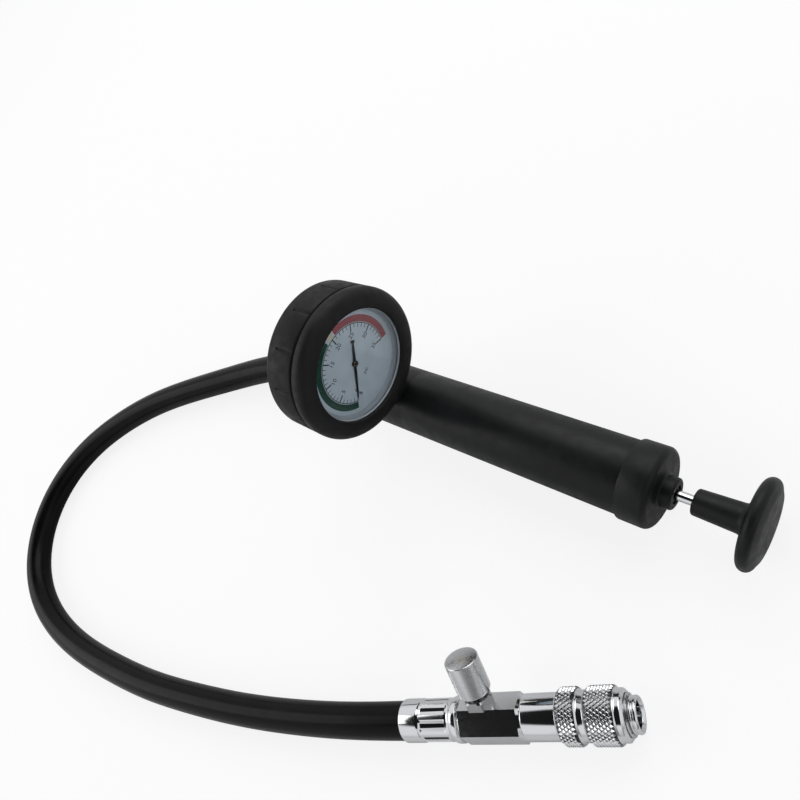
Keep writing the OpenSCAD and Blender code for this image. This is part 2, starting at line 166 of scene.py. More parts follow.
def soften(profile, radius, steps=4, closed=False):
    """Rounds every corner of a (z, r) profile; corners on the axis stay."""
    count = len(profile)
    out = []
    for i, point in enumerate(profile):
        p = Vector(point)
        before = Vector(profile[i - 1]) - p
        after = Vector(profile[(i + 1) % count]) - p
        reach = min(radius, before.length * 0.45, after.length * 0.45)
        fixed = not closed and (i in (0, count - 1) or point[1] < TINY)
        if fixed or reach < TINY or before.angle(after, math.pi) > math.radians(172):
            out.append(point)
            continue
        a = p + before.normalized() * reach
        b = p + after.normalized() * reach
        for k in range(steps + 1):
            t = k / steps
            q = a * (1 - t) ** 2 + p * 2 * t * (1 - t) + b * t * t
            out.append((q.x, q.y))
    return out


def add_object(name, data):
    """New object in the scene."""
    piece = bpy.data.objects.new(name, data)
    bpy.context.scene.collection.objects.link(piece)
    return piece


def add_mesh(name, verts, faces, placed, sharp=32, unit=MM):
    """Object at the origin from verts in a local frame, smooth but for edges over sharp degrees."""
    mesh = bpy.data.meshes.new(name)
    mesh.from_pydata([placed @ (Vector(v) * unit) for v in verts], [], faces)
    mesh.validate()
    mesh.update()
    mesh.polygons.foreach_set("use_smooth", [True] * len(mesh.polygons))
    mesh.set_sharp_from_angle(angle=math.radians(sharp))
    return add_object(name, mesh)


def plain_mesh(piece):
    """What a piece's modifiers or text come to, as a plain mesh; the piece itself goes."""
    graph = bpy.context.evaluated_depsgraph_get()
    mesh = bpy.data.meshes.new_from_object(piece.evaluated_get(graph))
    bpy.data.objects.remove(piece)
    return mesh


def tube(name, rings, placed, sharp=50, unit=MM):
    """Skin over rings of points, closed at both ends."""
    sides, last = len(rings[0]), len(rings) - 1
    faces = [list(range(sides))[::-1], [last * sides + k for k in range(sides)]]
    for low in range(0, last * sides, sides):
        faces += [[low + k, low + (k + 1) % sides, low + sides + (k + 1) % sides, low + sides + k]
                  for k in range(sides)]
    return add_mesh(name, [p for ring in rings for p in ring], faces, placed, sharp, unit)


def columns(count, extra=()):
    """Angles round a turned piece: count even ones and the extra ones, in order."""
    near = 0.2 * math.pi / count
    kept = [a for a in even_angles(count) if all(angle_between(a, b) > near for b in extra)]
    return sorted(kept + [b % (2 * math.pi) for b in extra])


def turned(name, profile, placed, closed=False, count=128, extra=(), cut=None, sharp=32):
    """Turns a (z, r) profile about Z. cut(z, r, angle) gives the radius of a flat, pocket or notch."""
    angles = columns(count, extra)
    around = len(angles)
    verts, rings, faces = [], [], []
    for z, r in profile:
        start = len(verts)
        if r < TINY:
            rings.append([start] * around)
            verts.append((0, 0, z))
            continue
        rings.append(list(range(start, start + around)))
        radii = [cut(z, r, a) if cut else r for a in angles]
        verts += [(radius * math.cos(a), radius * math.sin(a), z) for radius, a in zip(radii, angles)]
    for low, high in zip(rings, rings[1:] + rings[:1] if closed else rings[1:]):
        for k in range(around):
            m = (k + 1) % around
            quad = [low[k], low[m], high[m], high[k]]
            face = [v for i, v in enumerate(quad) if v not in quad[:i]]
            if len(face) > 2:
                faces.append(face)
    return add_mesh(name, verts, faces, placed, sharp)


def hexed(flats, phase):
    """What turned() needs to cut six flats, the first one's middle at the angle phase."""
    def cut(z, r, angle):
        off = (angle - phase + math.pi / 6) % (math.pi / 3) - math.pi / 6
        return min(r, flats / 2 / math.cos(off))
    return {"cut": cut, "extra": [phase + math.pi / 6 + i * math.pi / 3 for i in range(6)]}


def drilled(piece, bit, sharp):
    """The piece with the bit's shape cut out of it."""
    drill = piece.modifiers.new("drill", "BOOLEAN")
    drill.object = bit
    drill.operation = "DIFFERENCE"
    drill.solver = "EXACT"
    name = piece.name
    mesh = plain_mesh(piece)
    mesh.set_sharp_from_angle(angle=math.radians(sharp))
    bpy.data.objects.remove(bit)
    return add_object(name, mesh)


def merged(name, *pieces):
    """One object from several that stand in the same frame."""
    joined = bmesh.new()
    for piece in pieces:
        joined.from_mesh(piece.data)
        bpy.data.objects.remove(piece)
    mesh = bpy.data.meshes.new(name)
    joined.to_mesh(mesh)
    joined.free()
    return add_object(name, mesh)


def dress(piece, body, slot, finish=None, stands_for=None):
    """Gives a piece its body, its slot in the record, its material and the node that it stands for."""
    piece.data.materials.clear()
    piece.data.materials.append(FINISHES[finish or slot])
    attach(piece, body)
    if stands_for:
        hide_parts(stands_for)
    return piece


# ---------------------------------------------------------------- nodes and materials

def add_node(tree, kind, inputs=(), **settings):
    """New node; inputs maps a socket's name or number to a value or to another node's output."""
    node = tree.nodes.new(kind)
    for name, value in settings.items():
        setattr(node, name, value)
    for socket, value in dict(inputs).items():
        if isinstance(value, bpy.types.NodeSocket):
            tree.links.new(value, node.inputs[socket])
        else:
            node.inputs[socket].default_value = value
    return node


def maths(tree, operation, *values):
    """Math node; a value is a number or another node's output."""
    return add_node(tree, "ShaderNodeMath", enumerate(values), operation=operation).outputs[0]


def vector(tree, *parts):
    """Combine XYZ node; each part is a number or another node's output."""
    return add_node(tree, "ShaderNodeCombineXYZ", enumerate(parts)).outputs[0]


def noise(tree, scale, detail, stretch=(1, 1, 1)):
    """Noise output that reads Object coordinates."""
    place = add_node(tree, "ShaderNodeTexCoord").outputs["Object"]
    mapped = add_node(tree, "ShaderNodeMapping", {"Vector": place, "Scale": stretch}).outputs[0]
    cloud = add_node(tree, "ShaderNodeTexNoise", {"Vector": mapped, "Scale": scale, "Detail": detail})
    return cloud.outputs["Fac"]


def shade(colour, factor):
    """A colour made lighter or darker."""
    return tuple(c * factor for c in colour)


def new_finish(name, colour, roughness, cloud=None, gloss=None, bump=None, **sockets):
    """Material of one colour, with a cloud in the colour, an uneven gloss and a fine bump.

    Each of the three starts with the arguments of its noise. Then cloud has the factors of the darkest
    and the lightest colour, gloss the lowest and the highest roughness, and bump its strength and depth.
    """
    finish = bpy.data.materials.new(name)
    finish.use_nodes = True
    tree = finish.node_tree
    shader = tree.nodes["Principled BSDF"]
    values = {"Base Color": (*colour, 1), "Roughness": roughness}
    values.update({label.replace("_", " "): value for label, value in sockets.items()})
    for label, value in values.items():
        shader.inputs[label].default_value = value
    lowest, highest = 0.35, 0.65
    if cloud:
        ramp = add_node(tree, "ShaderNodeValToRGB", {"Fac": noise(tree, *cloud[0])})
        for stop, position, factor in zip(ramp.color_ramp.elements, (lowest, highest), cloud[1:]):
            stop.position = position
            stop.color = (*shade(colour, factor), 1)
        tree.links.new(ramp.outputs["Color"], shader.inputs["Base Color"])
    if gloss:
        ramp = add_node(tree, "ShaderNodeMapRange", {
            "Value": noise(tree, *gloss[0]), "From Min": lowest, "From Max": highest, "To Min": gloss[1],
            "To Max": gloss[2]})
        tree.links.new(ramp.outputs["Result"], shader.inputs["Roughness"])
    if bump:
        relief = add_node(tree, "ShaderNodeBump", {
            "Height": noise(tree, *bump[0]), "Strength": bump[1], "Distance": bump[2]})
        tree.links.new(relief.outputs["Normal"], shader.inputs["Normal"])
    return finish


def polished_chrome(name, colour, roughness=0.08):
    """Bright plating with a slightly uneven gloss."""
    return new_finish(name, colour, roughness, gloss=((900, 3), roughness * 0.85, roughness * 1.2),
                      bump=((700, 2), 0.06, 0.00003), Metallic=1.0)


def turned_metal(name, colour, roughness):
    """Machined metal: rings of tool marks across the piece."""
    return new_finish(name, colour, roughness, ((200, 3), 0.85, 1.08),
                      ((900, 3, (6, 1, 1)), roughness - 0.06, roughness + 0.1),
                      ((1500, 2, (5, 1, 1)), 0.15, 0.00003), Metallic=1.0)


def enamel(name, colour, roughness=0.35):
    """Printed or painted enamel with a slight unevenness."""
    return new_finish(name, colour, roughness, ((150, 3), 0.95, 1.04), bump=((1800, 2), 0.08, 0.00002))


def make_finishes():
    """Every material, under the name of its slot in the record or of its own."""
    c = bpy.context.scene.tester_colours
    plastic, rubber, hose, chrome = (tuple(x) for x in (c.plastic, c.rubber, c.hose, c.chrome))
    FINISHES.update({
        "black_plastic": new_finish(
            "satin black plastic", plastic, 0.42, ((90, 4), 0.85, 1.2), ((260, 3), 0.37, 0.49),
            ((2600, 2), 0.25, 0.00004), Specular_IOR_Level=0.22),
        "black_rubber": new_finish(
            "matte black rubber", rubber, 0.55, ((60, 5), 0.8, 1.35), ((320, 4), 0.48, 0.62),
            ((3400, 3), 0.4, 0.00006), Specular_IOR_Level=0.24),
        "hose_rubber": new_finish(
            "extruded hose rubber", hose, 0.24, ((45, 4), 0.8, 1.3), ((180, 4), 0.19, 0.29),
            ((1500, 3), 0.12, 0.00003), Specular_IOR_Level=0.09),
        "clear_lens": new_finish("clear lens", (0.95, 0.98, 1.0), 0.03, gloss=((300, 3), 0.01, 0.05),
                                 Transmission_Weight=1.0, IOR=1.3),
        "chrome": polished_chrome("polished chrome", chrome),
        "knurl_chrome": polished_chrome("knurled chrome", chrome, 0.16),
        "satin_chrome": polished_chrome("satin chrome", shade(chrome, 0.86), 0.24),
        # Darker copy of the chrome for the relief valve's hex: painted shade
        "painted_shade_chrome": polished_chrome("shaded plating", shade(chrome, 0.42), 0.22),
        # Near-black copy of the chrome under the knurl's diamonds: painted shade in the valleys
        "knurl_valley_shade": polished_chrome("painted shade of the knurl valleys", shade(chrome, 0.12), 0.35),
        "steel": turned_metal("bright steel", (0.60, 0.61, 0.63), 0.28),
        "brass": turned_metal("turned brass", tuple(c.brass), 0.26),
        "oiled_bronze": turned_metal("oil-dark bronze", (0.030, 0.024, 0.018), 0.4),
        "dial_print": enamel("dial enamel", tuple(c.dial)),
        "needle_paint": enamel("black needle paint", (0.012, 0.012, 0.013), 0.4),
        # Flat pale blue-grey for the bezel's steel wall: painted reflection
        "bezel_steel": enamel("bezel wall with painted reflection", (0.45, 0.50, 0.54), 0.3),
        "red_print": enamel("red band print", tuple(c.red)),
        # The green band's colour is its print, darkened by painted shade
        "green_print_and_shade": enamel("green band print and painted shade", tuple(c.green)),
        "cream_print": enamel("cream band print", (0.80, 0.74, 0.60)),
        "black_print": enamel("black scale print", (0.015, 0.016, 0.02)),
    })


def paint_frame_nodes():
    """Gives every CAD node that stays in view its own finish."""
    slots = {part["node"]: part["material_slot"] for part in frame["record"]["subparts"]}
    slots["rod_bush"] = "oiled_bronze"
    for name, node in frame["nodes"].items():
        node.data.materials.clear()
        node.data.materials.append(FINISHES[slots[name]])


# ---------------------------------------------------------------- geometry node trees

def node_tree(name, sizes):
    """Empty Geometry Nodes tree with named inputs, whose defaults say each one's type."""
    tree = bpy.data.node_groups.new(name, "GeometryNodeTree")
    kinds = {float: "NodeSocketFloat", int: "NodeSocketInt"}
    tree.interface.new_socket("Geometry", in_out="OUTPUT", socket_type="NodeSocketGeometry")
    for label, value in sizes.items():
        kind = kinds.get(type(value), "NodeSocketMaterial")
        socket = tree.interface.new_socket(label, in_out="INPUT", socket_type=kind)
        if value is not None:
            socket.default_value = value
    return tree, tree.nodes.new("NodeGroupInput").outputs


def place_copies(tree, count, place, turn, size, shape, finish):
    """Points placed by rule, a copy of shape on each, realised and given its material."""
    points = add_node(tree, "GeometryNodePoints", {"Count": count, "Position": place}).outputs[0]
    copies = add_node(tree, "GeometryNodeInstanceOnPoints", {
        "Points": points, "Instance": shape.outputs["Mesh"], "Rotation": turn, "Scale": size}).outputs[0]
    real = add_node(tree, "GeometryNodeRealizeInstances", {0: copies}).outputs[0]
    painted = add_node(tree, "GeometryNodeSetMaterial", {"Geometry": real, "Material": finish}).outputs[0]
    add_node(tree, "NodeGroupOutput", {0: painted})


def round_axis(tree, radius, angle, height):
    """Point at a radius, an angle and a height round Z."""
    return vector(tree, maths(tree, "MULTIPLY", radius, maths(tree, "COSINE", angle)),
                  maths(tree, "MULTIPLY", radius, maths(tree, "SINE", angle)), height)


def knurl_tree():
    """Band of blunt diamonds round Z, every other row half a step on."""
    tree, given = node_tree("knurl band", {
        "Radius": 0.009, "Length": 0.009, "Around": 40, "Rows": 8, "Height": 0.0004, "Material": None})
    radius, around, rows = given["Radius"], given["Around"], given["Rows"]
    fill = 0.9
    index = add_node(tree, "GeometryNodeInputIndex").outputs[0]
    row = maths(tree, "FLOOR", maths(tree, "DIVIDE", index, around))
    column = maths(tree, "FLOORED_MODULO", index, around)
    shift = maths(tree, "MULTIPLY", maths(tree, "FLOORED_MODULO", row, 2.0), 0.5)
    step = maths(tree, "DIVIDE", 2 * math.pi, around)
    angle = maths(tree, "MULTIPLY", maths(tree, "ADD", column, shift), step)
    pitch = maths(tree, "DIVIDE", given["Length"], maths(tree, "ADD", rows, 1.0))
    height = maths(tree, "MULTIPLY", maths(tree, "ADD", row, 1.0), pitch)
    half = maths(tree, "MULTIPLY", maths(tree, "MULTIPLY", radius, step), 0.5)
    along, across = (maths(tree, "MULTIPLY", reach, fill) for reach in (pitch, half))
    size = vector(tree, along, across, given["Height"])
    diamond = add_node(tree, "GeometryNodeMeshCone", {
        "Vertices": 4, "Radius Top": 0.35, "Radius Bottom": 1.0, "Depth": 1.0})
    place_copies(tree, maths(tree, "MULTIPLY", around, rows), round_axis(tree, radius, angle, height),
                 vector(tree, 0.0, math.pi / 2, angle), size, diamond, given["Material"])
    return tree


def tick_tree():
    """Scale marks on a dial, in the XY plane: every one of Every steps is longer and thicker."""
    tree, given = node_tree("scale ticks", {
        "Radius": 0.0162, "Count": 36, "Every": 5, "Start": 3.8, "Sweep": 4.4, "Long": 0.0028,
        "Short": 0.0015, "Width": 0.00022, "Thickness": 0.00004, "Material": None})
    index = add_node(tree, "GeometryNodeInputIndex").outputs[0]
    share = maths(tree, "DIVIDE", index, maths(tree, "SUBTRACT", given["Count"], 1.0))
    angle = maths(tree, "SUBTRACT", given["Start"], maths(tree, "MULTIPLY", given["Sweep"], share))
    major = maths(tree, "LESS_THAN", maths(tree, "FLOORED_MODULO", index, given["Every"]), 0.5)
    extra = maths(tree, "SUBTRACT", given["Long"], given["Short"])
    length = maths(tree, "ADD", given["Short"], maths(tree, "MULTIPLY", major, extra))
    width = maths(tree, "MULTIPLY", given["Width"], maths(tree, "ADD", major, 1.0))
    middle = maths(tree, "SUBTRACT", given["Radius"], maths(tree, "MULTIPLY", length, 0.5))
    place_copies(tree, given["Count"], round_axis(tree, middle, angle, 0.0), vector(tree, 0.0, 0.0, angle),
                 vector(tree, length, width, given["Thickness"]), add_node(tree, "GeometryNodeMeshCube"),
                 given["Material"])
    return tree


def grown(name, tree, sizes, placed):
    """Runs a tree on an empty mesh and keeps the result as a plain mesh, placed by a matrix."""
    seed = add_object(name + "_seed", bpy.data.meshes.new(name + "_seed"))
    modifier = seed.modifiers.new(name, "NODES")
    modifier.node_group = tree
    for item in tree.interface.items_tree:
        if item.in_out == "INPUT" and item.name in sizes:
            modifier[item.identifier] = sizes[item.name]
    seed.update_tag()
    mesh = plain_mesh(seed)
    mesh.name = name
    mesh.transform(placed)
    return add_object(name, mesh)


# ---------------------------------------------------------------- the hose

def spline_through(points, steps):
    """Smooth line through the route's points, the same as the hose's solid follows."""
    line = []
    last = len(points) - 1
    for i in range(last):
        a, b, c, d = (Vector(points[min(max(j, 0), last)]) for j in (i - 1, i, i + 1, i + 2))
        for t in (k / steps for k in range(steps)):
            line.append(0.5 * (2 * b + (c - a) * t + (2 * a - 5 * b + 4 * c - d) * t * t
                               + (3 * b - a - 3 * c + d) * t * t * t))
    return line + [Vector(points[last])]


def relaxed(line, rounds):
    """The same line with its small waves drawn out; the straight ends stay."""
    held = 10
    for _ in range(rounds):
        line = [p if i < held or i > len(line) - held else (line[i - 1] + p * 2 + line[i + 1]) / 4
                for i, p in enumerate(line)]
    return line


def hose_line():
    """Points of the hose's middle, from the barb to the wall inside the ferrule."""
    end = CONNECTOR_START + connector_direction() * bpy.context.scene.tester_hose.inside_ferrule
    return relaxed(spline_through(HOSE_ROUTE + [tuple(end)], 8), 60)


def build_hose():
    """The hose: a smooth rubber tube from the barb's hex to the ferrule's end wall."""
    radius = bpy.context.scene.tester_hose.diameter / 2
    route = hose_line()
    rings = []
    for i, p in enumerate(route):
        ahead = route[min(i + 1, len(route) - 1)] - route[max(i - 1, 0)]
        side = Vector((0, 0, 1)).cross(ahead).normalized()
        up = ahead.normalized().cross(side)
        rings.append([p + (side * math.cos(a) + up * math.sin(a)) * radius for a in even_angles(48)])
    hose = tube("rubber_hose", rings, Matrix.Identity(4), unit=1)
    dress(hose, "tester", "hose_rubber", stands_for="hose")


def declare_hose():
    """Declares the hose as a free hose that carries every piece of the connector."""
    route = hose_line()
    length = sum((b - a).length for a, b in zip(route, route[1:]))
    [tuple(p) for p in route]


# ---------------------------------------------------------------- the pump

def build_head():
    """The pump head: a barrel-wide body with a domed back, and the boss under the gauge."""
    s = bpy.context.scene.tester_pump
    r = s.barrel_diameter / 2 / MM
    spigot = r - s.barrel_wall / MM - 0.05
    body = turned("head_body", [(0, 0), (0, 9), (0.9, r - 3.2)] + arc((3.6, r - 2), 2, 165, 90, 10)
                  + [(4, r), (27, r), (27, spigot), (36, spigot), (36, 0)], pump_axes("pump_head"), count=160)
    middle = Vector((centre_of("gauge_stem").x, 0, centre_of("barrel").z))
    top = (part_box("pump_head")[1][2] - middle.z) / MM
    boss = turned("head_boss", soften([(6, 5), (6, 7.9), (top, 7.9), (top, 5)], 0.5, 5, True),
                  axes_at(middle, (1, 0, 0), (0, 0, 1)), closed=True, count=96)
    dress(merged("pump_head_shell", body, boss), "tester", "black_plastic", stands_for="pump_head")


def build_barb():
    """The brass barb's hex and the ferrule that grips the hose on it."""
    along = axes_at(pump_axes("pump_head").translation, (0, 1, 0), (-1, 0, 0))
    flats = 14
    corner = flats / math.sqrt(3)
    profile = [(-6, 0), (-6, 4.4), (0.02, 4.4), (0, 6.9), (0.7, corner), (5.3, corner), (6, 6.9), (6, 4.2),
               (23, 4.2), (23, 0)]
    barb = turned("barb_hex", profile, along, count=120, sharp=20, **hexed(flats, math.pi / 6))
    dress(barb, "tester", "brass", stands_for="hose_barb")
    outline = [(0, 7.03), (0, 8.2), (0.4, 8.6), (4, 8.6), (4.6, 8.2), (14, 8.2), (14.6, 8.6), (17.9, 8.6),
               (18.5, 8.1), (18.5, 7.03)]
    along.translation += Vector((-6 * MM, 0, 0))
    grip = turned("barb_grip", soften(outline, 0.3, 4, True), along, closed=True)
    dress(grip, "tester", "brass", stands_for="barb_ferrule")


def build_barrel():
    """The pump's barrel."""
    s = bpy.context.scene.tester_pump
    r, wall, length = s.barrel_diameter / 2 / MM, s.barrel_wall / MM, span("barrel")
    profile = soften([(0, r - wall), (0, r), (length, r), (length, r - wall)], 0.04, 2, True)
    barrel = turned("pump_barrel", profile, pump_axes("barrel"), closed=True, count=160)
    dress(barrel, "tester", "black_plastic", stands_for="barrel")


def build_end_cap():
    """The end cap, with its rounded shoulder and the nose round the rod."""
    s = bpy.context.scene.tester_pump
    length, end = s.cap_length / MM, span("end_cap")
    r, bore, rod_hole = s.cap_diameter / 2 / MM, s.barrel_diameter / 2 / MM, 3.3
    rim = arc((length - 2.4, r - 2.4), 2.4, 90, 0, 10)
    tip = arc((end - 0.9, 4.8), 0.9, 90, 0, 6)
    front = soften([rim[-1], (length, 6.6), (length + 0.5, 5.7), tip[0]], 0.4)
    profile = ([(0, bore), (0, r - 0.5), (0.15, r - 0.15), (0.5, r)] + rim + front[1:-1] + tip
               + [(end, rod_hole), (length - 4, rod_hole), (length - 4, bore)])
    cap = turned("end_cap_shell", profile, pump_axes("end_cap"), closed=True, count=160)
    dress(cap, "tester", "black_plastic", stands_for="end_cap")


def build_knob():
    """The handle: a slightly flared stem that runs into a rounded push disc."""
    length, disc_r = span("handle_knob"), span("handle_knob", 1) / 2
    rim, back = 2.3, length - 5.6
    stem = [(0, 1.9), (0, 3.9)] + arc((0.7, 3.9), 0.7, 180, 90, 5)
    flare = arc((back - 3.4, 8.4), 3.3, -90, -8, 10)
    edge = arc((back + rim, disc_r - rim), rim, 172, 12, 22)
    face = [(length - 0.32, disc_r - 3.5), (length - 0.15, disc_r - 6.5), (length - 0.03, disc_r - 10.5),
            (length, 0)]
    profile = [(2, 0), (2, 1.9)] + stem + flare + edge + face
    knob = turned("push_handle", profile, pump_axes("handle_knob"), count=160)
    dress(knob, "plunger", "black_plastic", stands_for="handle_knob")


# ---------------------------------------------------------------- the gauge

def build_boot():
    """The gauge's rubber boot: convex front ring, groove, and a back band with moulded notches."""
    s = bpy.context.scene.tester_gauge
    r, window, depth = s.boot_diameter / 2 / MM, s.window_diameter / 2 / MM, span("gauge_boot")
    case, back_hole, groove = 26.5, 18, depth - 6.5
    profile = ([(0, back_hole)] + arc((2.4, r - 2.7), 2.4, 180, 96, 10)
               + [(groove - 0.9, r - 0.1), (groove - 0.45, r - 0.35), (groove - 0.1, r - 1.1),
                  (groove + 0.15, r - 1.1), (groove + 0.6, r - 0.35), (groove + 1.2, r - 0.02)]
               + arc((depth - 3.6, r - 3.6), 3.6, 90, 18, 14)
               + [(depth - 0.02, r - 4.6), (depth - 0.1, window + 1.6), (depth - 0.4, window + 0.4),
                  (depth - 0.9, window), (depth - 1.5, window), (depth - 1.6, case), (2, case),
                  (2, back_hole)])
    start, end = groove - 9.5, groove - 0.6
    notches = [math.radians(15.6 + 30 * i) for i in range(12)]
    half = math.radians(0.75)

    def notch(z, radius, angle):
        if radius < r - 2 or not start - 0.05 <= z <= end + 0.05:
            return radius
        near = min(angle_between(angle, n) for n in notches)
        return radius - s.notch_depth / MM * max(0.0, 1 - near / (1.6 * half))

    for z in (start - 0.1, start, end, end + 0.1):
        place = next(i for i, p in enumerate(profile) if p[0] > z)
        before, after = profile[place - 1], profile[place]
        t = (z - before[0]) / (after[0] - before[0])
        profile.insert(place, (z, before[1] + (after[1] - before[1]) * t))
    boot = turned("rubber_boot", profile, gauge_axes("gauge_boot"), closed=True, count=180,
                  extra=[n + half * k for n in notches for k in (-2, -1, 0, 1, 2)], cut=notch)
    dress(boot, "tester", "black_rubber", stands_for="gauge_boot")


def build_lens():
    """The slightly domed lens."""
    thickness, r = span("gauge_lens"), span("gauge_lens", 1) / 2
    dome = [(thickness - 0.5 * (k / 10) ** 2, r * k / 10 * 0.985) for k in range(10, -1, -1)]
    profile = soften([(0, 0), (0, r)], 0.1) + [(thickness - 0.6, r)] + dome
    lens = turned("clear_lens_glass", profile, gauge_axes("gauge_lens"))
    dress(lens, "tester", "clear_lens", stands_for="gauge_lens")


def build_bezel():
    """The bezel's bright inner wall, from under the lens down to the dial."""
    wall = bpy.context.scene.tester_gauge.window_diameter / 2 / MM + 0.1
    depth = (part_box("gauge_bezel")[1][0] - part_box("gauge_dial")[1][0]) / MM - 2
    profile = soften([(0, wall - 1.5), (depth, wall + 0.6), (depth, wall + 2.5), (0, wall + 2.5)],
                     0.25, 4, True)
    ring = turned("bezel_inner_wall", profile, gauge_axes("gauge_dial", 1), closed=True)
    # The wall's pale blue-grey enamel is a painted reflection
    dress(ring, "tester", "bezel_steel")


def sector(name, inner, outer, start, end, lift, placed):
    """Flat printed band of a ring on the dial, clockwise from start to end degrees."""
    steps = max(2, int(abs(end - start) / 2))
    rings = []
    for i in range(steps + 1):
        a = math.radians(start + (end - start) * i / steps)
        rings.append([(radius * math.cos(a), radius * math.sin(a), z)
                      for radius, z in ((inner, 0), (outer, 0), (outer, lift), (inner, lift))])
    return tube(name, rings, placed, 32)


def lettering(name, text, height, place, face):
    """Plain number or unit printed on the dial."""
    curve = bpy.data.curves.new(name, "FONT")
    curve.body = text
    curve.size = height * MM
    curve.align_x = curve.align_y = "CENTER"
    curve.extrude = 0.02 * MM
    mesh = plain_mesh(add_object(name + "_curve", curve))
    mesh.transform(face @ Matrix.Translation(Vector((*place, 0.02)) * MM))
    dress(add_object(name, mesh), "tester", "dial_print", "black_print")


def build_dial():
    """The dial's enamelled plate with its coloured bands, line, ticks and plain numbers."""
    s = bpy.context.scene.tester_gauge
    r, thickness = span("gauge_dial", 1) / 2, span("gauge_dial")
    rim = soften([(0, 0.1), (0, r), (thickness, r), (thickness, 0.1)], 0.12)[1:-1]
    plate = turned("dial_plate", [(0, 0)] + rim + [(thickness, 0)], gauge_axes("gauge_dial"))
    dress(plate, "tester", "dial_print", stands_for="gauge_dial")
    face = gauge_axes("gauge_dial", 1)
    last, every = 35, 5

    def at(value):
        return math.degrees(s.needle_zero - s.needle_sweep * value / last)

    inner, outer, lift = s.band_inner / MM, s.band_outer / MM, 0.03
    for name, near, far, start, end, finish in (
            ("green_band", inner, outer, 0, 18.8, "green_print_and_shade"),
            ("cream_band", inner, outer, 19.2, 20.8, "cream_print"),
            ("red_band", inner, outer, 21, last, "red_print"),
            ("scale_line", inner - 0.55, inner - 0.25, 0, last, "black_print")):
        band = sector(name, near, far, at(start), at(end), lift, face)
        dress(band, "tester", "dial_print", finish)
    ticks = grown("scale_ticks", tick_tree(), {
        "Radius": (inner - 0.5) * MM, "Count": last + 1, "Every": every, "Start": s.needle_zero,
        "Sweep": s.needle_sweep, "Long": 2.9 * MM, "Short": 1.5 * MM, "Width": 0.24 * MM,
        "Thickness": 2 * lift * MM, "Material": FINISHES["black_print"]}, face)
    dress(ticks, "tester", "dial_print", "black_print")
    reach = inner - 4.9
    for value in range(0, last + 1, every):
        a = math.radians(at(value))
        lettering(f"number_{value}", str(value), 2.7, (reach * math.cos(a), reach * math.sin(a)), face)
    lettering("unit", "psi", 2.4, (0, -7.4), face)


def build_needle():
    """The pointer: a long blade, a shorter tail that ends in a blob, and a hub."""
    s = bpy.context.scene.tester_gauge
    placed = gauge_axes("gauge_needle") @ Matrix.Rotation(s.needle_zero, 4, "Z")
    tip, tail, thickness = s.needle_length / MM, s.needle_tail / MM, 0.35
    outline = [(tip, 0), (tip - 1.4, 0.26), (tip * 0.4, 0.5), (0, 0.6), (1.3 - tail, 0.36),
               (0.9 - tail, 0.85), (0.1 - tail, 0.85), (-tail, 0.4)]
    outline += [(x, -y) for x, y in reversed(outline[1:])]
    blade = tube("needle_blade", [[(x, y, z) for x, y in outline] for z in (0, thickness)], placed, 32)
    dress(blade, "needle", "needle_paint", stands_for="gauge_needle")
    profile = soften([(0, 1.35), (0.7, 1.35), (0.8, 0.6)], 0.2) + [(0.8, 0)]
    dress(turned("needle_hub", profile, placed, count=48), "needle", "needle_paint")


# ---------------------------------------------------------------- the connector

def build_hose_ferrule():
    """The chromed ferrule, crimped with eight flat pockets between ridges."""
    waist, start, end, length = 7.4, 8.6, 19.8, FERRULE_LENGTH
    steps = 22
    profile = soften([(0, 7.05), (0, 7.45), (0.35, 7.65), (7.6, 7.65), (8.3, waist), (start, waist)], 0.3)
    profile += [(start + (end - start) * k / steps, waist) for k in range(1, steps + 1)]
    profile += soften([(end, waist), (20.3, 7.3), (21, 7.35), (22.3, 8.0), (length - 0.3, 8.0), (length, 7.6),
                       (length, 4.7)], 0.5)[1:]
    half, edge = math.radians(15), math.radians(2)
    middles = [math.radians(45 * i + 14) for i in range(8)]

    def pocket(z, r, angle):
        off = min(angle_between(angle, m) for m in middles)
        if off > half + 1e-6 or not start + 0.2 < z < end - 0.2:
            return r
        return (waist - 0.4) * math.cos(half) / math.cos(off) + 0.2

    ferrule = turned("crimped_ferrule", profile, connector_axes(), count=96, cut=pocket, sharp=28,
                     extra=[m + a for m in middles for a in (-half - edge, -half, 0, half, half + edge)])
    dress(ferrule, "tester", "chrome", stands_for="hose_ferrule")


def build_block():
    """The hexagonal valve block with its chamfered ends and the relief valve's bore."""
    s = bpy.context.scene.tester_connector
    length, flats = s.block_length / MM, s.block_flats / MM
    flat, corner, sharp = flats / 2, flats / math.sqrt(3), 8
    profile = [(0, 2.2), (0, flat - 0.2), (1.0, corner), (1.2, corner), (length - 1.2, corner),
               (length - 1.0, corner), (length, flat - 0.2), (length, 2.2)]
    block = turned("hex_valve_block", profile, connector_axes(FERRULE_LENGTH), closed=True, count=120,
                   sharp=sharp, **hexed(flats, s.block_roll))
    bit = turned("valve_bore", [(-7.5, 0), (-7.5, 1.5), (-3.95, 1.5), (-3.95, 3.5), (3, 3.5), (3, 0)],
                 relief_axes(), count=48)
    block = drilled(block, bit, sharp)
    bevel = block.modifiers.new("edges", "BEVEL")
    bevel.width = 0.18 * MM
    bevel.segments = 2
    bevel.limit_method = "ANGLE"
    bevel.angle_limit = math.radians(40)
    bevel.harden_normals = True
    dress(block, "tester", "chrome", stands_for="valve_block")


